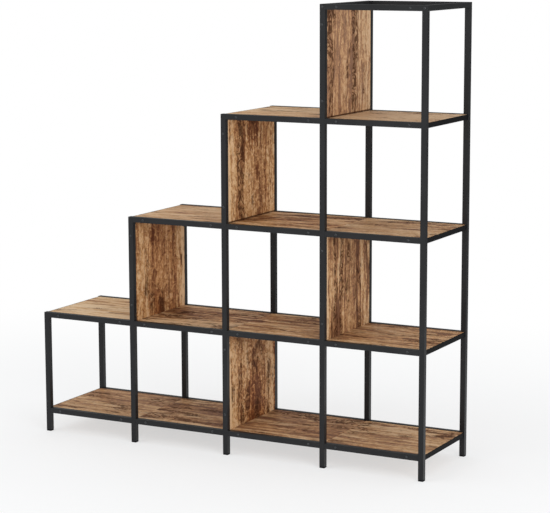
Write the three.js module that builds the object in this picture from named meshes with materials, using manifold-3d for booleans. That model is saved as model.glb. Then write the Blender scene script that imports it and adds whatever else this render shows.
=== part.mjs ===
// A staircase bookshelf: four columns, one to four cells high, in a black steel tube frame
// with wood boards to stand things on and upright wood panels between some of the cells.
// Millimetres, +Z up. The origin is on the floor under the middle of the frame,
// the front faces -Y and the columns grow taller towards +X.

import * as THREE from 'three';
import { mergeVertices } from 'three/addons/utils/BufferGeometryUtils.js';
import Module from 'manifold-3d';

const wasm = await Module();
wasm.setup();

// The whole frame
const frameWidth = 1200;
const frameDepth = 300;
const innerLegPitch = 300.5; // the two middle columns, leg centre to leg centre
const floorClearance = 55; // floor to the underside of the lowest rails
const bottomRowPitch = 284; // lower rail to upper rail
const secondRowPitch = 298;
const thirdRowPitch = 301;
const topRowPitch = 300;

// The cells seen from the front, top row first. 'o' is a cell that is open on its left,
// 'P' a cell with an upright wood panel on its left, and '-' no cell.
const cellPlan = [
  '---P',
  '--Po',
  '-PoP',
  'ooPo',
];

// Square steel tube of the legs, the rails and the two side bars of the open top
const tubeSize = 15;
const tubeWall = 1.2;
const tubeCornerRadius = 1.6;
const tubeCornerSteps = 2; // flats round each corner

// Closed ends of the legs: a plastic foot below, a cap on top
const footThickness = 4;
const capThickness = 1.5;
const ventRadius = 3; // lets the closed leg breathe into the lowest rail

// Closed and threaded ends of the top side bars
const barEndThickness = 6;

// Wood boards and upright panels
const boardThickness = 14;
const panelThickness = 14;
const boardRecess = 1; // the rails stand this much above the boards
const boardEndInset = 2.5; // from the outer face of an end leg to the board's end
const boardArris = 0.6; // the broken edge along the long sides
const fitGap = 0.3; // room left between a wood part and what it fits against

// Pan-head screws through the tubes, from the front and from the back
const screwRadius = 2;
const screwLength = 32;
const shortScrewLength = 11; // in the top rails, which carry no board
const headRadius = 3.7;
const headTopRadius = 2.6;
const headHeight = 1.8;
const screwClearance = 0.3; // round the screw in its blind hole
const holeReserve = 2; // depth of the blind hole past the tip of its screw
const cutOverrun = 1; // how far a cutting cylinder stands out of what it cuts
const roundSides = 12;

// Places of the screws
const boardScrewInset = 33.5; // from the side of the leg, along the rail
const panelScrewRise = 45.6; // above the lower rail
const panelScrewDrop = 39.1; // below the upper rail

const steel = { color: 0x2b2b2c, roughness: 0.55, metalness: 0.5 };
const wood = { color: 0xa98162, roughness: 0.6, metalness: 0 };

function runningSums(start, steps) {
  const sums = [start];
  for (const step of steps) sums.push(sums.at(-1) + step);
  return sums;
}

// Places that everything follows
const rearFace = frameDepth / 2;
const clearDepth = frameDepth - 2 * tubeSize;
const innerColumnCount = cellPlan[0].length - 2;
const outerLegPitch = (frameWidth - tubeSize - innerColumnCount * innerLegPitch) / 2;
const innerLegPitches = new Array(innerColumnCount).fill(innerLegPitch);
const legCentres = runningSums(-(frameWidth - tubeSize) / 2,
  [outerLegPitch, ...innerLegPitches, outerLegPitch]);
const railBottoms = runningSums(floorClearance,
  [bottomRowPitch, secondRowPitch, thirdRowPitch, topRowPitch]);
const topLevel = railBottoms.length - 1;
const lastLeg = legCentres.length - 1;

// Columns are counted from the left, rows and levels from the floor, all from zero.
// A column lies between the legs column and column + 1, a row between the levels row and row + 1.
function cellAt(column, row) {
  return cellPlan.at(-1 - row)?.[column] ?? '-';
}

// A level has a rail, and below the top a board, under each cell and on each column's highest cell
function hasRail(column, level) {
  return cellAt(column, level) !== '-' || (level > 0 && cellAt(column, level - 1) !== '-');
}

function boardTop(level) {
  return railBottoms[level] + tubeSize - boardRecess;
}

function boardBottom(level) {
  return boardTop(level) - boardThickness;
}

// A leg reaches the highest rail that meets it
function legTop(index) {
  let level = topLevel;
  while (!hasRail(index - 1, level) && !hasRail(index, level)) level -= 1;
  return railBottoms[level] + tubeSize;
}

// Directions: a profile is drawn in two axes and pushed along the third
const xAxis = new THREE.Vector3(1, 0, 0);
const yAxis = new THREE.Vector3(0, 1, 0);
const zAxis = new THREE.Vector3(0, 0, 1);
const alongX = new THREE.Matrix4().makeBasis(yAxis, zAxis, xAxis); // profile in Y and Z
const alongY = new THREE.Matrix4().makeBasis(zAxis, xAxis, yAxis); // profile in Z and X
const alongZ = new THREE.Matrix4(); // profile in X and Y

// Closed bodies, cuts and joins
function toSolid(geometry) {
  const bare = geometry.clone();
  bare.deleteAttribute('normal');
  bare.deleteAttribute('uv');
  const welded = mergeVertices(bare);
  return new wasm.Manifold(new wasm.Mesh({
    numProp: 3,
    vertProperties: new Float32Array(welded.attributes.position.array),
    triVerts: new Uint32Array(welded.index.array),
  }));
}

function toGeometry(solid) {
  const mesh = solid.getMesh();
  const geometry = new THREE.BufferGeometry();
  geometry.setAttribute('position', new THREE.BufferAttribute(mesh.vertProperties, 3));
  geometry.setIndex(new THREE.BufferAttribute(mesh.triVerts, 1));
  return geometry;
}

function shape(body, { cuts = [], joins = [] }) {
  let solid = toSolid(body);
  for (const tool of cuts) solid = solid.subtract(toSolid(tool));
  for (const piece of joins) solid = solid.add(toSolid(piece));
  return toGeometry(solid);
}

function push(profile, length, direction) {
  const geometry = new THREE.ExtrudeGeometry(profile, {
    depth: length,
    bevelEnabled: false,
    curveSegments: tubeCornerSteps / 2, // an arc takes twice this many steps
  });
  return geometry.applyMatrix4(direction);
}

// Profiles, centred on their own middle
function tubeOutline() {
  const half = tubeSize / 2;
  const core = half - tubeCornerRadius;
  const profile = new THREE.Shape();
  profile.moveTo(-core, -half);
  profile.lineTo(core, -half);
  profile.absarc(core, -core, tubeCornerRadius, -Math.PI / 2, 0);
  profile.absarc(core, core, tubeCornerRadius, 0, Math.PI / 2);
  profile.absarc(-core, core, tubeCornerRadius, Math.PI / 2, Math.PI);
  profile.absarc(-core, -core, tubeCornerRadius, Math.PI, 1.5 * Math.PI);
  return profile;
}

function tubeHollow() {
  const half = tubeSize / 2 - tubeWall;
  return outline([[-half, -half], [half, -half], [half, half], [-half, half]]);
}

// Long edges broken by a small chamfer; the flat faces lie left and right of the middle
function slabProfile(thickness, width) {
  const face = thickness / 2;
  const edge = width / 2;
  const innerFace = face - boardArris;
  const innerEdge = edge - boardArris;
  return [
    [-innerFace, -edge],
    [innerFace, -edge],
    [face, -innerEdge],
    [face, innerEdge],
    [innerFace, edge],
    [-innerFace, edge],
    [-face, innerEdge],
    [-face, -innerEdge],
  ];
}

function outline(points) {
  return new THREE.Shape(points.map(([across, up]) => new THREE.Vector2(across, up)));
}

// A screw along +Y with the underside of its head at the origin
function screw(length) {
  const profile = [
    [0, -headHeight],
    [headTopRadius, -headHeight],
    [headRadius, 0],
    [screwRadius, 0],
    [screwRadius, length],
    [0, length],
  ];
  const points = profile.map(([radius, along]) => new THREE.Vector2(radius, along));
  return new THREE.LatheGeometry(points, roundSides);
}

// Screws in a tube whose axis passes through the origin; places are their x and z
function screwsIn(places, fromRear, length = screwLength) {
  return places.map(([x, z]) => {
    const piece = screw(length).translate(0, -tubeSize / 2, 0);
    if (fromRear) piece.rotateX(Math.PI);
    return piece.translate(x, 0, z);
  });
}

// Blind holes along Y from the front and the rear edge of a slab of wood, or the ends of a bar
function blindHoles(places, frontEnd, rearEnd) {
  const radius = screwRadius + screwClearance;
  const depth = screwLength - tubeSize + holeReserve;
  const drill = new THREE.CylinderGeometry(radius, radius, depth + cutOverrun, roundSides);
  const offset = (depth - cutOverrun) / 2;
  return places.flatMap(([x, z]) => [
    drill.clone().translate(x, frontEnd + offset, z),
    drill.clone().translate(x, rearEnd - offset, z),
  ]);
}

// Parts, each drawn about its own origin
function leg(height, ventHeight, ventSide, places, fromRear) {
  const body = push(tubeOutline(), height, alongZ);
  const hollow = push(tubeHollow(), height - footThickness - capThickness, alongZ)
    .translate(0, 0, footThickness);
  const vent = new THREE.CylinderGeometry(ventRadius, ventRadius, tubeSize / 2, roundSides)
    .rotateZ(Math.PI / 2)
    .translate(ventSide * tubeSize / 2, 0, ventHeight);
  return shape(body, { cuts: [hollow, vent], joins: screwsIn(places, fromRear) });
}

function rail(length, places, fromRear, fastenerLength) {
  const profile = tubeOutline();
  profile.holes.push(new THREE.Path(tubeHollow().getPoints().reverse()));
  const screws = screwsIn(places, fromRear, fastenerLength);
  return shape(push(profile, length, alongX), { joins: screws });
}

function topSideBar() {
  const body = push(tubeOutline(), clearDepth, alongY);
  const hollow = push(tubeHollow(), clearDepth - 2 * barEndThickness, alongY)
    .translate(0, barEndThickness, 0);
  return shape(body, { cuts: [hollow, ...blindHoles([[0, 0]], 0, clearDepth)] });
}

function board(length, places) {
  const width = clearDepth - 2 * fitGap;
  const profile = slabProfile(boardThickness, width).map(([across, up]) => [-up, across]);
  return shape(push(outline(profile), length, alongX), {
    cuts: blindHoles(places, -width / 2, width / 2),
  });
}

function panel(height, places) {
  const width = clearDepth - 2 * fitGap;
  return shape(push(outline(slabProfile(panelThickness, width)), height, alongZ), {
    cuts: blindHoles(places, -width / 2, width / 2),
  });
}

// Places of the screws in the whole frame
function boardScrewXs(column) {
  const inset = tubeSize / 2 + boardScrewInset;
  return [legCentres[column] + inset, legCentres[column + 1] - inset];
}

function panelScrewZs(row) {
  return [railBottoms[row] + tubeSize + panelScrewRise, railBottoms[row + 1] - panelScrewDrop];
}

function screwHeight(level) {
  return railBottoms[level] + tubeSize / 2;
}

function legScrewZs(index) {
  const heights = [];
  for (let row = 0; row < topLevel; row++) {
    if (cellAt(index, row) === 'P') heights.push(...panelScrewZs(row));
  }
  if (index >= lastLeg - 1) heights.push(screwHeight(topLevel));
  return heights;
}

// The finished shelf
const shelf = new THREE.Group();

function eachCell(visit) {
  for (let row = 0; row < topLevel; row++) {
    for (let column = 0; column < lastLeg; column++) {
      if (cellAt(column, row) !== '-') visit(column, row);
    }
  }
}

function eachRail(visit) {
  for (let level = 0; level <= topLevel; level++) {
    for (let column = 0; column < lastLeg; column++) {
      if (hasRail(column, level)) visit(column, level);
    }
  }
}

function add(name, geometry, finish, x, y, z) {
  const mesh = new THREE.Mesh(geometry, new THREE.MeshStandardMaterial(finish));
  mesh.name = name;
  mesh.position.set(x, y, z);
  shelf.add(mesh);
}

// The front and the rear frame: legs numbered from the left, and a rail for each cell's edge
for (const side of ['front', 'rear']) {
  const fromRear = side === 'rear';
  const y = (fromRear ? 1 : -1) * (rearFace - tubeSize / 2);
  legCentres.forEach((x, index) => {
    const places = legScrewZs(index).map((z) => [0, z]);
    const ventSide = index === 0 ? 1 : -1;
    const body = leg(legTop(index), screwHeight(0), ventSide, places, fromRear);
    add(`${side}_leg_${index + 1}`, body, steel, x, y, 0);
  });
  eachRail((column, level) => {
    const start = legCentres[column] + tubeSize / 2;
    const length = legCentres[column + 1] - tubeSize / 2 - start;
    const places = boardScrewXs(column).map((x) => [x - start, 0]);
    const fastenerLength = level === topLevel ? shortScrewLength : screwLength;
    const body = rail(length, places, fromRear, fastenerLength);
    const name = `${side}_rail_level_${level + 1}_column_${column + 1}`;
    add(name, body, steel, start, y, screwHeight(level));
  });
}

// Side bars that tie the front and the rear frame together at the open top
add('top_side_bar_left', topSideBar(), steel,
  legCentres[lastLeg - 1], -clearDepth / 2, screwHeight(topLevel));
add('top_side_bar_right', topSideBar(), steel,
  legCentres[lastLeg], -clearDepth / 2, screwHeight(topLevel));

// Boards: one for each cell, meeting on the centre lines of the legs
eachRail((column, level) => {
  if (level === topLevel) return;
  const endMargin = boardEndInset - tubeSize / 2;
  const start = legCentres[column] + (hasRail(column - 1, level) ? fitGap : endMargin);
  const end = legCentres[column + 1] - (hasRail(column + 1, level) ? fitGap : endMargin);
  const z = boardBottom(level) + boardThickness / 2;
  const places = boardScrewXs(column).map((x) => [x - start, screwHeight(level) - z]);
  const name = `board_level_${level + 1}_column_${column + 1}`;
  add(name, board(end - start, places), wood, start, 0, z);
});

// Upright panels: each stands on the boards between a front leg and a rear leg
eachCell((column, row) => {
  if (cellAt(column, row) !== 'P') return;
  const start = boardTop(row) + fitGap;
  const end = Math.min(railBottoms[row + 1], boardBottom(row + 1)) - fitGap;
  const places = panelScrewZs(row).map((z) => [0, z - start]);
  const name = `panel_column_${column + 1}_row_${row + 1}`;
  add(name, panel(end - start, places), wood, legCentres[column], 0, start);
});

export default shelf;
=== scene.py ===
import bpy, bmesh, math
from mathutils import Matrix, Vector


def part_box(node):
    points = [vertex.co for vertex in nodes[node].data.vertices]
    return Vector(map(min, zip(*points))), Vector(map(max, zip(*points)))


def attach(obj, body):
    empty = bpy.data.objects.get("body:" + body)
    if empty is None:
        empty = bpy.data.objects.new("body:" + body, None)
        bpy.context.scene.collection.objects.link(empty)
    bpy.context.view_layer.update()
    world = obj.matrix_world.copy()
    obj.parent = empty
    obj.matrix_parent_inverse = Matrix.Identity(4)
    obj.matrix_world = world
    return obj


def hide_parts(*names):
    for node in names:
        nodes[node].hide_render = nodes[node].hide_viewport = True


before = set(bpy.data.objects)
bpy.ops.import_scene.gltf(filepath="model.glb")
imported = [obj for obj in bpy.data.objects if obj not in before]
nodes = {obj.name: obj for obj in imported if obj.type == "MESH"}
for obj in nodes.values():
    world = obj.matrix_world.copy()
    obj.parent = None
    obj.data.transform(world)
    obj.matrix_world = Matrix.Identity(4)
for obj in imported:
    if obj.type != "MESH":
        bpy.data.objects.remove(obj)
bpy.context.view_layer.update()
print("frame loaded:", len(nodes), "nodes")

camera = {
    "place": (2.584, -4.7374, 1.4218),  # metres, in the shelf's own frame
    "turn": 27.865,  # degrees, from looking straight at the front
    "tilt": 9.29,  # degrees downwards
    "roll": -0.172,  # degrees
    "lens": 127.2,  # millimetres
    "sensor": 36,  # millimetres
    "sight": 200,  # metres, how far it sees
}


def makeCamera():
    data = bpy.data.cameras.new("camera")
    data.lens = camera["lens"]
    data.sensor_width = camera["sensor"]
    data.clip_end = camera["sight"]
    lookout = bpy.data.objects.new("camera", data)
    turn = Matrix.Rotation(math.radians(camera["turn"]), 4, "Z")
    tilt = Matrix.Rotation(math.radians(90 - camera["tilt"]), 4, "X")
    roll = Matrix.Rotation(math.radians(camera["roll"]), 4, "Z")
    lookout.matrix_world = Matrix.Translation(camera["place"]) @ turn @ tilt @ roll
    bpy.context.scene.collection.objects.link(lookout)
    bpy.context.scene.camera = lookout


makeCamera()
print("camera set")


# A shader socket that takes part in sums, so shader maths reads as maths
class Signal:
    noiseMiddle = 0.5

    def __init__(self, sheet, socket):
        self.sheet = sheet
        self.socket = socket

    def maths(self, operation, *values):
        return self.sheet.add("ShaderNodeMath", {"operation": operation}, values)

    def __add__(self, other):
        return self.maths("ADD", self, other)

    def __radd__(self, other):
        return self.maths("ADD", other, self)

    def __sub__(self, other):
        return self.maths("SUBTRACT", self, other)

    def __rsub__(self, other):
        return self.maths("SUBTRACT", other, self)

    def __mul__(self, other):
        return self.maths("MULTIPLY", self, other)

    def __rmul__(self, other):
        return self.maths("MULTIPLY", other, self)

    def __abs__(self):
        return self.maths("ABSOLUTE", self)

    def larger(self, other):
        return self.maths("MAXIMUM", self, other)

    def step(self, low, high):  # 0 below low, 1 above high, smooth between them
        values = {"Value": self, "From Min": low, "From Max": high}
        return self.sheet.add("ShaderNodeMapRange", {"interpolation_type": "SMOOTHSTEP"}, values)

    def swing(self, amount):  # a noise about its middle, times an amount
        return (self - self.noiseMiddle) * amount

    def other(self, name):  # another output of the node that this socket belongs to
        return Signal(self.sheet, self.socket.node.outputs[name])


# A material's or the world's nodes, with one method that adds any of them
class Sheet:
    def __init__(self, owner):
        owner.use_nodes = True
        self.owner = owner
        self.tree = owner.node_tree
        self.tree.nodes.clear()

    def add(self, kind, settings, values, output=0):
        node = self.tree.nodes.new(kind)
        for name, setting in settings.items():
            if name == "stops":
                ramp = node.color_ramp.elements
                while len(ramp) < len(setting):
                    ramp.new(0.5)  # moved to its place below
                for element, (place, colour) in zip(ramp, setting):
                    element.position = place
                    element.color = (*colour, 1)
            else:
                setattr(node, name, setting)
        for name, value in values.items() if isinstance(values, dict) else enumerate(values):
            if isinstance(value, Signal):
                self.tree.links.new(value.socket, node.inputs[name])
            else:
                node.inputs[name].default_value = value
        return Signal(self, node.outputs[output]) if node.outputs else None

    def mixed(self, amount, first, second, way="MIX"):  # colours, by the Mix node's colour sockets
        first, second = [c if isinstance(c, Signal) else (*c, 1) for c in (first, second)]
        settings = {"data_type": "RGBA", "blend_type": way}
        return self.add("ShaderNodeMix", settings, {0: amount, 6: first, 7: second}, 2)

    def vector(self, operation, *values):
        return self.add("ShaderNodeVectorMath", {"operation": operation}, values)

    def along(self, place, direction):  # how far a place lies in a direction
        settings = {"operation": "DOT_PRODUCT"}
        return self.add("ShaderNodeVectorMath", settings, [place, direction], "Value")

    def reach(self, place):  # how far a place lies from the origin
        return self.add("ShaderNodeVectorMath", {"operation": "LENGTH"}, [place], "Value")

    def ownPlace(self):  # metres, in the object's own frame
        return self.add("ShaderNodeTexCoord", {}, {}, "Object")

    def noise(self, place, scale, detail, roughness, distortion=0):
        values = {"Vector": place, "Scale": scale, "Detail": detail, "Roughness": roughness}
        return self.add("ShaderNodeTexNoise", {}, {**values, "Distortion": distortion})

    def drawnOut(self, place, lengthwise, crosswise, *character):  # noise with its own scale along x
        drawn = self.vector("MULTIPLY", place, (lengthwise, crosswise, crosswise))
        return self.noise(drawn, 1, *character)

    def bump(self, height, distance, strength):
        values = {"Height": height, "Distance": distance, "Strength": strength}
        return self.add("ShaderNodeBump", {}, values)

    def grey(self, level):
        return self.vector("MULTIPLY", (1, 1, 1), level)

    def finish(self, shader):
        self.add("ShaderNodeOutputMaterial", {}, {"Surface": shader})
        return self.owner

    def principled(self, values):
        return self.finish(self.add("ShaderNodeBsdfPrincipled", {}, values))


studio = {
    "skyLevel": 0.86,  # the room's light on everything that isn't a mirror
    "darkSide": (0.2, 0.98, 0.0),  # the side of the room that the metal's right faces and tops mirror
    "darkLevel": 0.2,  # how light that side is in the mirrors
    "skyDarkEdge": (0.2, 0.9),  # where the mirrored sky goes dark, as cosines of the angle to darkSide
    "floorDarkEdge": (0.6, 2.6),  # where the mirrored floor does, in metres towards darkSide
    "floorHalf": 60,  # metres
    "floorColour": (0.885, 0.9, 0.915),
    "floorWhite": 0.975,  # how white the floor shows beside the shelf
    "shadowDepth": 0.4,  # how much of a shadow shows there
    "fadeStart": 0.5,  # metres from the shelf, where the floor starts to go white
    "fadeEnd": 2.1,
    "fadeShape": (0.8, 1, 0),  # how much x, y and z count in that distance
    "lampAim": (0, 0, 0.6),  # metres, like the lamps' places and sizes
    "lamps": {
        "softbox_left": {"place": (-2.6, -3.4, 3.4), "size": 2.6, "power": 36},
        "softbox_right": {"place": (3.8, -3.0, 1.8), "size": 2.4, "power": 85},
    },
}


def mirroredLevel(sheet, place, edge):  # what the metal sees: white, but darker on one side
    return 1 - sheet.along(place, studio["darkSide"]).step(*edge) * (1 - studio["darkLevel"])


def makeWorld():
    world = bpy.data.worlds.new("studio")
    bpy.context.scene.world = world
    sheet = Sheet(world)
    isCamera = sheet.add("ShaderNodeLightPath", {}, {}, "Is Camera Ray")
    isGlossy = isCamera.other("Is Glossy Ray")
    isTransmission = isCamera.other("Is Transmission Ray")
    direction = sheet.add("ShaderNodeTexCoord", {}, {}, "Generated")
    mirrored = mirroredLevel(sheet, direction, studio["skyDarkEdge"])
    shown = isCamera.larger(isTransmission)
    level = studio["skyLevel"] * (1 - isGlossy) + isGlossy * mirrored
    level = level * (1 - shown) + shown
    background = sheet.add("ShaderNodeBackground", {}, {"Color": sheet.grey(level)})
    sheet.add("ShaderNodeOutputWorld", {}, {"Surface": background})


def makeFloor():
    mesh = bpy.data.meshes.new("floor")
    half = studio["floorHalf"]
    corners = [(-half, -half, 0), (half, -half, 0), (half, half, 0), (-half, half, 0)]
    mesh.from_pydata(corners, [], [(0, 1, 2, 3)])
    floor = bpy.data.objects.new("floor", mesh)
    bpy.context.scene.collection.objects.link(floor)
    sheet = Sheet(bpy.data.materials.new("paleFloor"))
    place = sheet.ownPlace()
    distance = sheet.reach(sheet.vector("MULTIPLY", place, studio["fadeShape"]))
    far = distance.step(studio["fadeStart"], studio["fadeEnd"])
    white = far * (1 - studio["floorWhite"]) + studio["floorWhite"]
    isCamera = sheet.add("ShaderNodeLightPath", {}, {}, "Is Camera Ray")
    isGlossy = isCamera.other("Is Glossy Ray")
    mirrored = mirroredLevel(sheet, place, studio["floorDarkEdge"])
    level = white * (1 - isGlossy * (1 - mirrored))
    glow = sheet.add("ShaderNodeEmission", {}, {"Color": sheet.grey(level)})
    matt = sheet.add("ShaderNodeBsdfDiffuse", {}, {"Color": (*studio["floorColour"], 1)})
    glowing = far * studio["shadowDepth"] + (1 - studio["shadowDepth"])
    amount = isCamera.larger(isGlossy) * glowing
    shader = sheet.add("ShaderNodeMixShader", {}, {0: amount, 1: matt, 2: glow})
    floor.data.materials.append(sheet.finish(shader))


def makeLamp(name, look):
    data = bpy.data.lights.new(name, "AREA")
    data.shape = "DISK"
    data.size = look["size"]
    data.energy = look["power"]
    lamp = bpy.data.objects.new(name, data)
    lamp.location = look["place"]
    aim = Vector(studio["lampAim"]) - Vector(look["place"])
    lamp.rotation_euler = aim.to_track_quat("-Z", "Y").to_euler()
    bpy.context.scene.collection.objects.link(lamp)


bpy.context.scene.view_settings.view_transform = "Standard"
makeWorld()
makeFloor()
for lampName, lampLook in studio["lamps"].items():
    makeLamp(lampName, lampLook)
print("light and floor set")

# In the finishes a noise is (cycles a metre, detail, roughness) and a bump is (metres, strength)
blackSteel = {
    "colour": (0.0110, 0.0115, 0.0125),
    "worn": (0.0150, 0.0155, 0.0168),
    "wornEdge": (0.35, 0.75),
    "roughness": 0.40,
    "specular": 0.22,
    "cloud": (9, 3, 0.6),
    "peel": (900, 2, 0.5),  # the powder coat's orange peel
    "speck": (2600, 1, 0.5),
    "cloudRoughness": 0.1,
    "speckRoughness": 0.08,
    "peelShare": 0.7,  # of the relief, whose rest is speck
    "bump": (0.00003, 0.5),
}


def makeBlackSteel():
    sheet = Sheet(bpy.data.materials.new("blackPowderCoat"))
    place = sheet.ownPlace()
    cloud, peel, speck = [sheet.noise(place, *blackSteel[name]) for name in ("cloud", "peel", "speck")]
    worn = cloud.step(*blackSteel["wornEdge"])
    rough = blackSteel["roughness"] + cloud.swing(blackSteel["cloudRoughness"])
    relief = peel * blackSteel["peelShare"] + speck * (1 - blackSteel["peelShare"])
    return sheet.principled({
        "Base Color": sheet.mixed(worn, blackSteel["colour"], blackSteel["worn"]),
        "Roughness": rough + speck.swing(blackSteel["speckRoughness"]),
        "Normal": sheet.bump(relief, *blackSteel["bump"]),
        "Specular IOR Level": blackSteel["specular"],
    })


screwFinish = {
    "colour": (0.04, 0.0415, 0.044),
    "rubbed": (0.085, 0.088, 0.093),
    "rubbedEdge": (0.4, 0.75),
    "metallic": 0.75,
    "roughness": 0.38,
    "cloud": (500, 3, 0.6),
    "cloudRoughness": 0.2,
    "bump": (0.00004, 0.6),
}


def makeScrewFinish():
    sheet = Sheet(bpy.data.materials.new("blackOxideScrew"))
    cloud = sheet.noise(sheet.ownPlace(), *screwFinish["cloud"])
    rubbed = cloud.step(*screwFinish["rubbedEdge"])
    return sheet.principled({
        "Base Color": sheet.mixed(rubbed, screwFinish["colour"], screwFinish["rubbed"]),
        "Metallic": screwFinish["metallic"],
        "Roughness": screwFinish["roughness"] + cloud.swing(screwFinish["cloudRoughness"]),
        "Normal": sheet.bump(cloud, *screwFinish["bump"]),
    })


plasticFinish = {
    "colour": (0.007, 0.007, 0.0075),
    "paler": (0.0105, 0.0105, 0.01125),
    "roughness": 0.6,
    "specular": 0.05,
    "grain": (1500, 3, 0.6),
    "grainRoughness": 0.2,
    "bump": (0.00003, 0.5),
}


def makePlastic(name):
    sheet = Sheet(bpy.data.materials.new(name))
    grain = sheet.noise(sheet.ownPlace(), *plasticFinish["grain"])
    return sheet.principled({
        "Base Color": sheet.mixed(grain, plasticFinish["colour"], plasticFinish["paler"]),
        "Roughness": plasticFinish["roughness"] + grain.swing(plasticFinish["grainRoughness"]),
        "Normal": sheet.bump(grain, *plasticFinish["bump"]),
        "Specular IOR Level": plasticFinish["specular"],
    })


# Old-wood laminate. The mesh keeps grainPlace: metres along the grain, across it and into the board.
rusticWood = {
    "pale": (0.70, 0.515, 0.32),
    "gold": (0.56, 0.343, 0.155),
    "tan": (0.40, 0.212, 0.093),
    "brown": (0.24, 0.108, 0.046),
    "dark": (0.120, 0.043, 0.014),
    "ramp": {"dark": 0.0, "brown": 0.27, "tan": 0.5, "gold": 0.72, "pale": 1.0},  # by tone
    "tone": 0.77,  # a board's tone before its own look moves it
    "crack": (0.045, 0.013, 0.003),
    "rust": (0.87, 0.63, 0.45),  # what a reddened place is multiplied with
    "faded": (0.42, 0.275, 0.180),
    "roughness": 0.5,
    "specular": 0.08,
    "bump": (0.0003, 0.6),
    "startAcross": 0.37,  # how much of a board's start moves its pattern across the grain too
    "sway": 0.035,  # metres, how far the grain wanders across
    # Noises: cycles a metre along the grain and across it, detail, roughness, distortion
    "swayNoise": (6, 11, 2, 0.5),
    "layers": {
        "patches": (2.4, 14, 2, 0.5),
        "ribbons": (3.6, 36, 2, 0.5),
        "streaks": (6, 62, 3, 0.6),
        "fibres": (6, 115, 3, 0.65),
        "flecks": (80, 85, 3, 0.65, 0.9),
        "lines": (4.5, 58, 3, 0.6, 0.4),
        "openings": (9, 30, 2, 0.5),
        "squiggles": (24, 34, 2, 0.5, 1.8),
        "splits": (16, 78, 3, 0.6, 0.8),
        "pores": (42, 100, 2, 0.5, 0.6),
    },
    # Where a soft edge begins and ends: in shares of the mark's own size, or else in the noise's value
    "edges": {
        "strip": (0.4, 1.4),
        "stain": (0.3, 1.3),
        # the painted shade at a panel's lower end
        "shadeGap": (0.7, 1.4),
        "lines": (0.54, 0.61),
        "openings": (0.06, 0.2),  # above the noise's middle
        "squiggles": (0.03, 0.10),  # from the noise's middle
        "splits": (0.60, 0.68),
        "pores": (0.57, 0.66),
    },
    # How strongly one thing works on another
    "marks": {
        "bandRedness": 1.4,
        "stainRedness": 0.3,
        "stainStreaks": 1.2,  # how far streaks and flecks fray a stain
        "stainFlecks": 0.8,
        "stainCracks": 0.5,
        "stainDepth": 10,  # metres into the board, so that only its face counts
        "chainShade": 0.12,
        "cracks": 0.3,
        "wormy": 0.17,
        "squiggles": 0.85,
        "openingCover": 0.3,
        "poreCover": 0.4,
        "wormCover": 0.95,
        # how dark the painted shade at a panel's lower end is
        "shadeGapCover": 0.9,
        "fibreRoughness": 0.18,
        "wormRoughness": 0.2,
        "fibreHeight": 0.3,
        "streakHeight": 0.2,
        "fleckHeight": 0.2,
        "wormDepth": 0.7,
    },
    # What a board has where its own look says nothing
    "plain": {
        "swing": 1, "streaks": 1.6, "fibres": 1.4, "flecks": 1.3, "pores": 1, "lines": 0.34,
        "faded": 0, "bands": (), "chains": (), "stains": (),
    },
}


# How light, how red and how cracked the wood is, from place to place
def woodPattern(sheet, look, place, grain):
    edges, marks = rusticWood["edges"], rusticWood["marks"]
    across = sheet.along(place, (0, 1, 0))

    def strip(middle, half):  # 1 on a strip along the grain, 0 away from it
        begin, end = [half * share for share in edges["strip"]]
        return 1 - abs(across - middle).step(begin, end)

    tone = rusticWood["tone"] - look["depth"]
    tone = tone + grain["patches"].swing(look["swing"]) + grain["ribbons"].swing(look["swing"])
    tone = tone + grain["streaks"].swing(look["streaks"]) + grain["fibres"].swing(look["fibres"])
    tone = tone + grain["flecks"].swing(look["flecks"])
    tone = tone - grain["lines"].step(*edges["lines"]) * look["lines"]
    red = look["redness"]
    wormy = look["cracks"] * marks["cracks"]
    for middle, half, strength in look["bands"]:  # a strength below zero makes the band paler
        band = strip(middle, half)
        tone = tone - band * strength
        red = red + band * max(strength, 0) * marks["bandRedness"]
    for middle, half, strength in look["chains"]:  # chains of ragged cracks along the grain
        chain = strip(middle, half)
        wormy = wormy + chain * strength
        tone = tone - chain * strength * marks["chainShade"]
    for start, middle, length, width, strength in look["stains"]:
        offset = sheet.vector("SUBTRACT", place, (start, middle, 0))
        spread = sheet.reach(sheet.vector("DIVIDE", offset, (length, width, marks["stainDepth"])))
        spread = spread + grain["streaks"].swing(marks["stainStreaks"])
        spread = spread + grain["flecks"].swing(marks["stainFlecks"])
        stain = 1 - spread.step(*edges["stain"])
        tone = tone - stain * strength
        red = red + stain * marks["stainRedness"]
        wormy = wormy + stain * marks["stainCracks"] * strength
    return tone, red, wormy


def woodColour(sheet, look, tone, red):
    stops = [(value, rusticWood[name]) for name, value in rusticWood["ramp"].items()]
    colour = sheet.add("ShaderNodeValToRGB", {"stops": stops}, {0: tone})
    colour = sheet.mixed(red, colour, rusticWood["rust"], "MULTIPLY")
    return sheet.mixed(look["faded"], colour, rusticWood["faded"])


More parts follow.
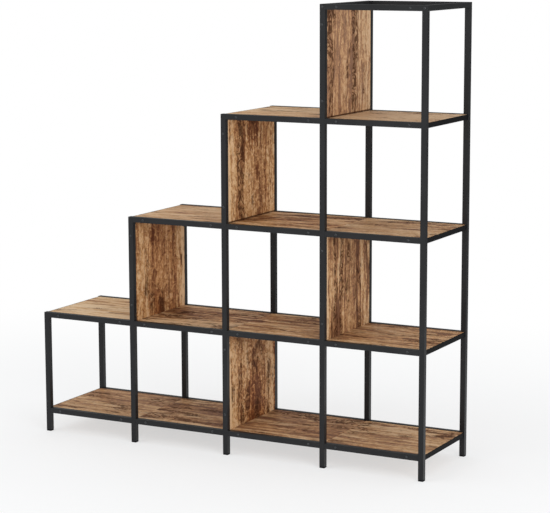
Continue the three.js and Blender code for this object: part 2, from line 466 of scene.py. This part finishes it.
def makeWood(name, ownLook):
    look = {**rusticWood["plain"], **ownLook}
    edges, marks = rusticWood["edges"], rusticWood["marks"]
    sheet = Sheet(bpy.data.materials.new(f"{name}_wood"))
    flat = sheet.add("ShaderNodeAttribute", {"attribute_name": "grainPlace"}, {}, "Vector")
    sway = sheet.drawnOut(flat, *rusticWood["swayNoise"]).swing(rusticWood["sway"])
    place = sheet.vector("ADD", flat, sheet.add("ShaderNodeCombineXYZ", {}, {1: sway}))
    start = (look["start"], look["start"] * rusticWood["startAcross"], 0)
    shifted = sheet.vector("ADD", place, start)
    grain = {layer: sheet.drawnOut(shifted, *noise) for layer, noise in rusticWood["layers"].items()}
    tone, red, wormy = woodPattern(sheet, look, place, grain)

    opening = grain["openings"] + wormy * marks["wormy"] - Signal.noiseMiddle
    opening = opening.step(*edges["openings"])  # where the wood has opened
    squiggles = 1 - abs(grain["squiggles"] - Signal.noiseMiddle).step(*edges["squiggles"])
    splits = grain["splits"].step(*edges["splits"])
    worm = (squiggles * marks["squiggles"]).larger(splits) * opening
    pores = grain["pores"].step(*edges["pores"]) * look["pores"]
    colour = woodColour(sheet, look, tone, red)
    colour = sheet.mixed(opening * marks["openingCover"], colour, rusticWood["brown"])
    colour = sheet.mixed(pores * marks["poreCover"], colour, rusticWood["dark"])
    colour = sheet.mixed(worm * marks["wormCover"], colour, rusticWood["crack"])
    if "shadeGap" in look:  # painted shade along a panel's lower end, where it meets the board below
        begin, end = [look["shadeGap"] * share for share in edges["shadeGap"]]
        lowest = 1 - sheet.along(flat, (1, 0, 0)).step(begin, end)
        # the painted shade takes the crack colour
        colour = sheet.mixed(lowest * marks["shadeGapCover"], colour, rusticWood["crack"])

    rough = rusticWood["roughness"] + grain["fibres"].swing(marks["fibreRoughness"])
    relief = grain["fibres"] * marks["fibreHeight"] + grain["streaks"] * marks["streakHeight"]
    relief = relief + grain["flecks"] * marks["fleckHeight"] - worm * marks["wormDepth"]
    return sheet.principled({
        "Base Color": colour,
        "Roughness": rough + worm * marks["wormRoughness"],
        "Normal": sheet.bump(relief, *rusticWood["bump"]),
        "Specular IOR Level": rusticWood["specular"],
    })


steel = makeBlackSteel()
screwSteel = makeScrewFinish()
footPlastic = makePlastic("footPlastic")
edgingPlastic = makePlastic("edgingPlastic")
print("finishes made")


def keep(name, mesh, material, replaced=()):
    piece = bpy.data.objects.new(name, mesh)
    bpy.context.scene.collection.objects.link(piece)
    mesh.materials.append(material)
    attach(piece, "root")
    if replaced:
        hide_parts(*replaced)
    return piece


smoothing = {
    "angle": 40,  # degrees, above which an edge stays sharp
    "weight": 80,
}


def smoothed(piece, angle=smoothing["angle"]):
    mesh = piece.data
    mesh.shade_smooth()
    bm = bmesh.new()
    bm.from_mesh(mesh)
    for edge in bm.edges:
        edge.smooth = edge.calc_face_angle(0) < math.radians(angle)
    bm.to_mesh(mesh)
    bm.free()
    weighted = piece.modifiers.new("weighted", "WEIGHTED_NORMAL")
    weighted.keep_sharp = True
    weighted.weight = smoothing["weight"]


def halfway(low, high):
    return (low + high) / 2


# Rings of points, joined one to the next and closed at both ends
def joinRings(bm, rings):
    loops = [[bm.verts.new(point) for point in ring] for ring in rings]
    for low, high in zip(loops, loops[1:]):
        for index in range(len(low)):
            after = (index + 1) % len(low)
            bm.faces.new((low[index], low[after], high[after], high[index]))
    bm.faces.new(reversed(loops[0]))
    bm.faces.new(loops[-1])


tube = {
    "size": 0.015,
    "centre": 0.1425,  # from the shelf's middle to the middle of a front or rear tube
    "corner": 0.0005,
    "cornerSteps": 3,
    "broken": 0.0003,  # how far the edges of a cut end are broken
    # From the floor up: height, how much narrower than the tube, corner. The tube starts at the last.
    "foot": [
        (0.0, 0.0016, 0.0004),
        (0.0008, 0.0002, 0.0005),
        (0.0037, 0.0002, 0.0005),
        (0.004, 0.0008, 0.0003),
        (0.00435, 0.0014, 0.0002),
    ],
}

legNumbers = range(1, 6)
topLegs = (4, 5)  # the legs with a side bar between their tops

barTurns = {
    "x": Matrix.Rotation(math.pi / 2, 4, "Y"),
    "y": Matrix.Rotation(-math.pi / 2, 4, "X"),
    "z": Matrix(),
}


def roundedSquare(size, corner, steps):
    half = size / 2 - corner
    points = []
    for turn, (x, y) in enumerate(((half, half), (-half, half), (-half, -half), (half, -half))):
        for step in range(steps + 1):
            angle = (turn + step / steps) * math.pi / 2
            points.append((x + corner * math.cos(angle), y + corner * math.sin(angle)))
    return points


# A bar from its outlines along its length, each (place along the bar, size, corner radius)
def barMesh(name, outlines, place, axis):
    rings = []
    for along, size, corner in outlines:
        rings.append([(x, y, along) for x, y in roundedSquare(size, corner, tube["cornerSteps"])])
    bm = bmesh.new()
    joinRings(bm, rings)
    bmesh.ops.recalc_face_normals(bm, faces=bm.faces)
    bm.transform(Matrix.Translation(place) @ barTurns[axis])
    mesh = bpy.data.meshes.new(name)
    bm.to_mesh(mesh)
    bm.free()
    return mesh


# The outlines of a tube whose ends are slightly broken
def tubeOutlines(low, high):
    size, corner, broken = tube["size"], tube["corner"], tube["broken"]
    endSize, endCorner = size - 2 * broken, corner - broken
    return [
        (low, endSize, endCorner),
        (low + broken, size, corner),
        (high - broken, size, corner),
        (high, endSize, endCorner),
    ]


def makeLegs():
    for side, y in (("front", -tube["centre"]), ("rear", tube["centre"])):
        for number in legNumbers:
            node = f"{side}_leg_{number}"
            low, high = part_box(node)
            place = (halfway(low.x, high.x), y, 0)
            footTop = tube["foot"][-1][0]
            shaft = barMesh(node, tubeOutlines(footTop, high.z), place, "z")
            smoothed(keep(f"{node}_tube", shaft, steel, [node]))
            outlines = [(height, tube["size"] - inset, corner) for height, inset, corner in tube["foot"]]
            foot = barMesh(f"{node}_foot", outlines, place, "z")
            smoothed(keep(f"{node}_foot", foot, footPlastic))


def makeRails():
    for node in nodes:
        low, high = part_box(node)
        z = halfway(low.z, high.z)
        if "_rail_" in node:
            y = -tube["centre"] if node.startswith("front") else tube["centre"]
            mesh = barMesh(node, tubeOutlines(low.x, high.x), (0, y, z), "x")
        elif node.startswith("top_side_bar"):
            x = halfway(low.x, high.x)
            mesh = barMesh(node, tubeOutlines(low.y, high.y), (x, 0, z), "y")
        else:
            continue
        smoothed(keep(f"{node}_tube", mesh, steel, [node]))


screw = {
    "radius": 0.0037,
    "height": 0.0018,
    # Shares of the radius and of the height, from the face up
    "domeShares": [(1, 0), (1, 0.22), (0.95, 0.5), (0.82, 0.78), (0.62, 0.95), (0.5, 1)],
    "steps": 24,  # round the head
    "socket": 0.00125,  # from the middle to a side
    "socketDepth": 0.0011,
    "sharp": 35,  # degrees
    "face": 0.15,  # from the shelf's middle to the face that the heads lie on
    "railInset": 0.0335,  # from the end of a rail
    "panelRise": 0.0463,  # above a panel's lower end
    "panelDrop": 0.0388,  # below its upper end
    "spin": (0.7, 3, 5),  # radians for each head on a tube, each metre along x and each metre up
}


def makeScrewHead():
    radius, height, steps = screw["radius"], screw["height"], screw["steps"]
    turns = [2 * math.pi * step / steps for step in range(steps)]
    rings = []
    for radiusShare, heightShare in screw["domeShares"]:
        reach, level = radius * radiusShare, height * heightShare
        rings.append([(reach * math.cos(turn), reach * math.sin(turn), level) for turn in turns])
    socket = []
    for turn in turns:  # a six-sided socket with as many points as the rings
        reach = screw["socket"] / math.cos((turn + math.pi / 6) % (math.pi / 3) - math.pi / 6)
        socket.append((reach * math.cos(turn), reach * math.sin(turn)))
    for level in (height, height - screw["socketDepth"]):
        rings.append([(x, y, level) for x, y in socket])
    bm = bmesh.new()
    joinRings(bm, rings)
    mesh = bpy.data.meshes.new("screwHead")
    bm.to_mesh(mesh)
    bm.free()
    return mesh


# The x and z of the screw heads on each tube that carries some
def screwPlaces():
    places = {}
    inset = screw["railInset"]
    for node in nodes:
        if "_rail_" in node:
            low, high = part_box(node)
            z = halfway(low.z, high.z)
            places[node] = [(low.x + inset, z), (high.x - inset, z)]
    for number in legNumbers:
        heights = []
        for node in nodes:
            if node.startswith(f"panel_column_{number}_"):
                low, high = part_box(node)
                heights += [low.z + screw["panelRise"], high.z - screw["panelDrop"]]
        if number in topLegs:
            low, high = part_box("top_side_bar_left")
            heights.append(halfway(low.z, high.z))
        if heights:
            low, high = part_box(f"front_leg_{number}")
            spots = [(halfway(low.x, high.x), z) for z in heights]
            places[f"front_leg_{number}"] = places[f"rear_leg_{number}"] = spots
    return places


def makeScrews():
    head = makeScrewHead()
    spinEach, spinByX, spinByZ = screw["spin"]
    for node, spots in screwPlaces().items():
        outwards = -1 if node.startswith("front") else 1
        tilt = Matrix.Rotation(-outwards * math.pi / 2, 4, "X")
        bm = bmesh.new()
        for index, (x, z) in enumerate(spots):
            before = len(bm.verts)
            bm.from_mesh(head)
            bm.verts.ensure_lookup_table()
            place = Matrix.Translation((x, outwards * screw["face"], z))
            spin = Matrix.Rotation(spinEach * index + spinByX * x + spinByZ * z, 4, "Z")
            bmesh.ops.transform(bm, matrix=place @ tilt @ spin, verts=bm.verts[before:])
        bmesh.ops.recalc_face_normals(bm, faces=bm.faces)
        mesh = bpy.data.meshes.new(f"{node}_screws")
        bm.to_mesh(mesh)
        bm.free()
        smoothed(keep(f"{node}_screws", mesh, screwSteel), screw["sharp"])


slab = {
    "arris": 0.0007,
    "arrisSteps": 3,
    "arrisProfile": 0.5,  # round
    "sharp": 60,  # degrees
    "edging": 0.002,
    "edgingArris": 0.0004,
    "edgingArrisSteps": 2,
    "edgingSharp": 50,  # degrees
    "freeLeftEnds": (
        "board_level_1_column_1", "board_level_2_column_1",
        "board_level_3_column_2", "board_level_4_column_3",
    ),
}

# Each board's and panel's own look. depth darkens, redness warms, faded greys, cracks adds ragged
# cracks, start moves the pattern and swing scales the broad changes of tone. streaks, fibres,
# flecks, pores and lines set the amount of each. The shade gap is the height of the painted shade
# along a panel's lower end, where it meets the board below.
# bands and chains: (metres from the front edge, half width, strength).
# stains: (metres along, metres from the front edge, half length, half width, strength).
boards = {
    "board_level_1_column_1": {
        "depth": 0.12, "redness": 0.15, "faded": 0.3, "cracks": 0.6, "start": 0.4,
        "bands": [(0.17, 0.03, 0.12), (0.25, 0.03, 0.15)],
        "chains": [(0.16, 0.012, 0.6), (0.25, 0.015, 0.6)],
        "stains": [(0.12, 0.165, 0.07, 0.008, 0.45)],
    },
    "board_level_1_column_2": {
        "depth": 0.11, "redness": 0.35, "faded": 0.25, "cracks": 0.8, "start": 1.7, "streaks": 2.4,
        "fibres": 2.1, "flecks": 1.8, "lines": 0.45,
        "bands": [(0.16, 0.04, 0.18), (0.03, 0.02, 0.05), (0.01, 0.012, -0.5)],
        "chains": [(0.05, 0.03, 0.9), (0.17, 0.02, 0.8)],
        "stains": [(0.2, 0.165, 0.09, 0.012, 0.5), (0.1, 0.2, 0.06, 0.012, 0.35)],
    },
    "board_level_1_column_3": {
        "depth": 0.17, "redness": 0.28, "faded": 0.2, "cracks": 0.4, "start": 3.1, "streaks": 2.3,
        "fibres": 2.1,
        "bands": [(0.24, 0.02, -0.15), (0.08, 0.04, 0.14), (0.02, 0.02, -0.1)],
        "chains": [(0.23, 0.03, 0.9)],
        "stains": [(0.03, 0.17, 0.04, 0.014, 0.5), (0.19, 0.09, 0.07, 0.01, 0.5),
                   (0.16, 0.22, 0.05, 0.01, 0.4)],
    },
    "board_level_1_column_4": {
        "depth": 0.0, "redness": 0.2, "faded": 0.25, "cracks": 0.3, "start": 4.3, "fibres": 2.0,
        "bands": [(0.25, 0.02, 0.08)],
        "chains": [(0.245, 0.016, 0.8)],
        "stains": [(0.175, 0.143, 0.03, 0.01, 0.7), (0.265, 0.215, 0.03, 0.022, 0.7),
                   (0.03, 0.07, 0.05, 0.008, 0.4), (0.085, 0.24, 0.03, 0.008, 0.5)],
    },
    "board_level_2_column_1": {
        "depth": -0.16, "redness": 0.0, "faded": 0.15, "cracks": -0.6, "start": 5.9, "swing": 0.6,
        "flecks": 0.8, "pores": 0.5,
        "bands": [(0.01, 0.015, -0.1), (0.2, 0.05, 0.1)],
    },
    "board_level_2_column_2": {
        "depth": -0.07, "redness": 0.27, "faded": 0.1, "cracks": 0.9, "start": 7.2, "swing": 1.5,
        "streaks": 3.4, "fibres": 2.4, "flecks": 1.8, "lines": 0.5,
        "bands": [(0.16, 0.05, 0.16), (0.03, 0.035, -0.1), (0.01, 0.014, -0.35), (0.25, 0.02, 0.16)],
        "chains": [(0.13, 0.04, 0.7)],
        "stains": [(0.05, 0.17, 0.06, 0.02, 0.35)],
    },
    "board_level_2_column_3": {
        "depth": 0.06, "redness": 0.3, "cracks": 0.2, "start": 8.8,
        "bands": [(0.2, 0.06, 0.06), (0.01, 0.012, -0.15)],
        "chains": [(0.19, 0.02, 0.5)],
        "stains": [(0.02, 0.15, 0.03, 0.02, 0.4), (0.16, 0.11, 0.04, 0.014, 0.35),
                   (0.24, 0.2, 0.04, 0.012, 0.25)],
    },
    "board_level_2_column_4": {
        "depth": -0.01, "redness": 0.35, "faded": 0.2, "cracks": 0.1, "start": 10.1, "streaks": 1.2,
        "bands": [(0.08, 0.03, 0.1), (0.01, 0.014, -0.2)],
        "chains": [(0.09, 0.014, 0.4)],
        "stains": [(0.02, 0.035, 0.05, 0.012, 0.5), (0.1, 0.22, 0.03, 0.01, 0.4),
                   (0.15, 0.2, 0.03, 0.01, 0.4), (0.2, 0.115, 0.025, 0.012, 0.6),
                   (0.26, 0.21, 0.03, 0.014, 0.6)],
    },
    "board_level_3_column_2": {
        "depth": -0.15, "redness": 0.25, "faded": 0.25, "cracks": 0.1, "start": 11.7,
        "streaks": 2.4, "flecks": 1.2, "pores": 0.8, "lines": 0.45,
        "bands": [(0.16, 0.03, 0.12), (0.05, 0.02, 0.06)],
        "stains": [(0.12, 0.12, 0.05, 0.014, 0.25)],
    },
    "board_level_3_column_3": {
        "depth": -0.14, "redness": 0.4, "cracks": 0.5, "start": 13.3, "swing": 2.3, "streaks": 3.6,
        "fibres": 2.4, "flecks": 1.8, "lines": 0.5,
        "bands": [(0.1, 0.06, 0.1), (0.22, 0.04, -0.06), (0.01, 0.014, -0.25)],
        "chains": [(0.24, 0.02, 0.5)],
        "stains": [(0.1, 0.13, 0.06, 0.02, 0.3)],
    },
    "board_level_3_column_4": {
        "depth": -0.01, "redness": 0.15, "faded": 0.25, "cracks": 0.1, "start": 14.6,
        "streaks": 1.3,
        "chains": [(0.24, 0.015, 0.6)],
        "stains": [(0.135, 0.225, 0.03, 0.012, 0.7), (0.205, 0.12, 0.03, 0.012, 0.7),
                   (0.245, 0.23, 0.03, 0.012, 0.7), (0.285, 0.205, 0.015, 0.01, 0.6),
                   (0.07, 0.03, 0.07, 0.014, 0.2)],
    },
    "board_level_4_column_3": {
        "depth": -0.22, "redness": 0.15, "faded": 0.15, "cracks": 0.0, "start": 16.2,
        "streaks": 2.2, "flecks": 1.0, "pores": 0.7,
        "bands": [(0.21, 0.05, -0.12), (0.06, 0.05, 0.1)],
        "stains": [(0.2, 0.1, 0.04, 0.014, 0.2)],
    },
    "board_level_4_column_4": {
        "depth": -0.33, "redness": 0.2, "faded": 0.4, "cracks": 0.0, "start": 17.9, "streaks": 2.0,
        "bands": [(0.2, 0.07, -0.16), (0.05, 0.05, 0.08)],
        "stains": [(0.06, 0.16, 0.09, 0.05, 0.1)],
    },
    "panel_column_2_row_2": {
        "depth": 0.095, "redness": 0.42, "cracks": 0.2, "start": 20.3, "swing": 0.5, "streaks": 0.5,
        "fibres": 1.4, "flecks": 2.0, "lines": 0.2,
        "bands": [(0.125, 0.045, 0.15), (0.2, 0.022, 0.2), (0.264, 0.011, -0.6)],
        "stains": [(0.23, 0.09, 0.03, 0.012, 0.3), (0.02, 0.13, 0.05, 0.03, 0.3)],
    },
    "panel_column_3_row_1": {
        "depth": 0.055, "redness": 0.42, "cracks": 0.4, "start": 23.3, "swing": 0.3, "streaks": 0.4,
        "fibres": 1.6, "flecks": 2.7, "lines": 0.1,
        "bands": [(0.002, 0.006, -1.0), (0.025, 0.03, -0.08), (0.165, 0.045, 0.14),
                  (0.235, 0.025, -0.1), (0.267, 0.006, 0.3)],
        "chains": [(0.065, 0.018, 1.5), (0.2, 0.012, 0.4)],
        "stains": [(0.03, 0.14, 0.15, 0.06, 0.4)],
    },
    "panel_column_3_row_3": {
        "depth": 0.08, "redness": 0.33, "cracks": 0.4, "start": 25.3, "swing": 0.4, "streaks": 0.5,
        "fibres": 1.7, "flecks": 2.1, "lines": 0.2, "shadeGap": 0.004,
        "bands": [(0.003, 0.007, -0.8), (0.02, 0.02, -0.2), (0.15, 0.04, 0.05),
                  (0.215, 0.012, 0.14)],
        "chains": [(0.07, 0.022, 1.3)],
        "stains": [(0.27, 0.14, 0.07, 0.05, 0.45), (0.13, 0.165, 0.03, 0.012, 0.5),
                   (0.2, 0.085, 0.06, 0.02, 0.4)],
    },
    "panel_column_4_row_2": {
        "depth": 0.21, "redness": 0.3, "faded": 0.15, "cracks": 0.5, "start": 27.1, "swing": 0.6,
        "streaks": 0.8, "fibres": 2.7, "flecks": 1.9,
        "bands": [(0.003, 0.006, -0.9), (0.195, 0.018, 0.22), (0.268, 0.007, -0.4)],
        "chains": [(0.055, 0.014, 1.4), (0.09, 0.012, 1.2), (0.2, 0.014, 0.7)],
        "stains": [(0.05, 0.07, 0.07, 0.025, 0.5), (0.2, 0.195, 0.08, 0.014, 0.4)],
    },
    "panel_column_4_row_4": {
        "depth": 0.12, "redness": 0.38, "faded": 0.36, "cracks": 0.3, "start": 29.6, "swing": 0.7,
        "streaks": 1.4, "fibres": 2.6, "flecks": 2.2, "lines": 0.25, "shadeGap": 0.004,
        "bands": [(0.268, 0.007, -0.5), (0.14, 0.012, 0.2), (0.05, 0.06, 0.11), (0.23, 0.05, -0.1)],
        "chains": [(0.02, 0.016, 1.7), (0.165, 0.014, 1.1)],
        "stains": [(0.1, 0.145, 0.1, 0.012, 0.6)],
    },
}


# A box with softly broken edges
def softBox(name, low, high, arris, steps):
    bm = bmesh.new()
    bmesh.ops.create_cube(bm, size=1)
    bm.transform(Matrix.Translation(halfway(low, high)) @ Matrix.Diagonal((*(high - low), 1)))
    profile = slab["arrisProfile"]
    bmesh.ops.bevel(bm, geom=bm.edges[:], offset=arris, segments=steps, profile=profile, affect="EDGES")
    mesh = bpy.data.meshes.new(name)
    bm.to_mesh(mesh)
    bm.free()
    return mesh


# A board or panel, with the wood's own coordinates on its points
def slabPiece(node, low, high, lengthwise, look):
    mesh = softBox(node, low, high, slab["arris"], slab["arrisSteps"])
    grain = mesh.attributes.new("grainPlace", "FLOAT_VECTOR", "POINT")
    for index, vertex in enumerate(mesh.vertices):
        x, y, z = vertex.co - low
        grain.data[index].vector = (x, y, z) if lengthwise == "x" else (z, y, x)
    smoothed(keep(f"{node}_wood", mesh, makeWood(node, look), [node]), slab["sharp"])


def edgingPiece(node, end, low, high):
    mesh = softBox(f"{node}_{end}_edging", low, high, slab["edgingArris"], slab["edgingArrisSteps"])
    piece = keep(f"{node}_{end}_edging", mesh, edgingPlastic)
    smoothed(piece, slab["edgingSharp"])


def makeWoodParts():
    for node, look in boards.items():
        low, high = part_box(node)
        if node.startswith("panel"):
            slabPiece(node, low, high, "z", look)
            continue
        if node in slab["freeLeftEnds"]:
            edgingPiece(node, "left", low, Vector((low.x + slab["edging"], high.y, high.z)))
            low.x += slab["edging"]
        if node.endswith("column_4"):
            edgingPiece(node, "right", Vector((high.x - slab["edging"], low.y, low.z)), high)
            high.x -= slab["edging"]
        slabPiece(node, low, high, "x", look)


makeLegs()
makeRails()
makeScrews()
print("frame dressed")
makeWoodParts()
print("boards and panels dressed")
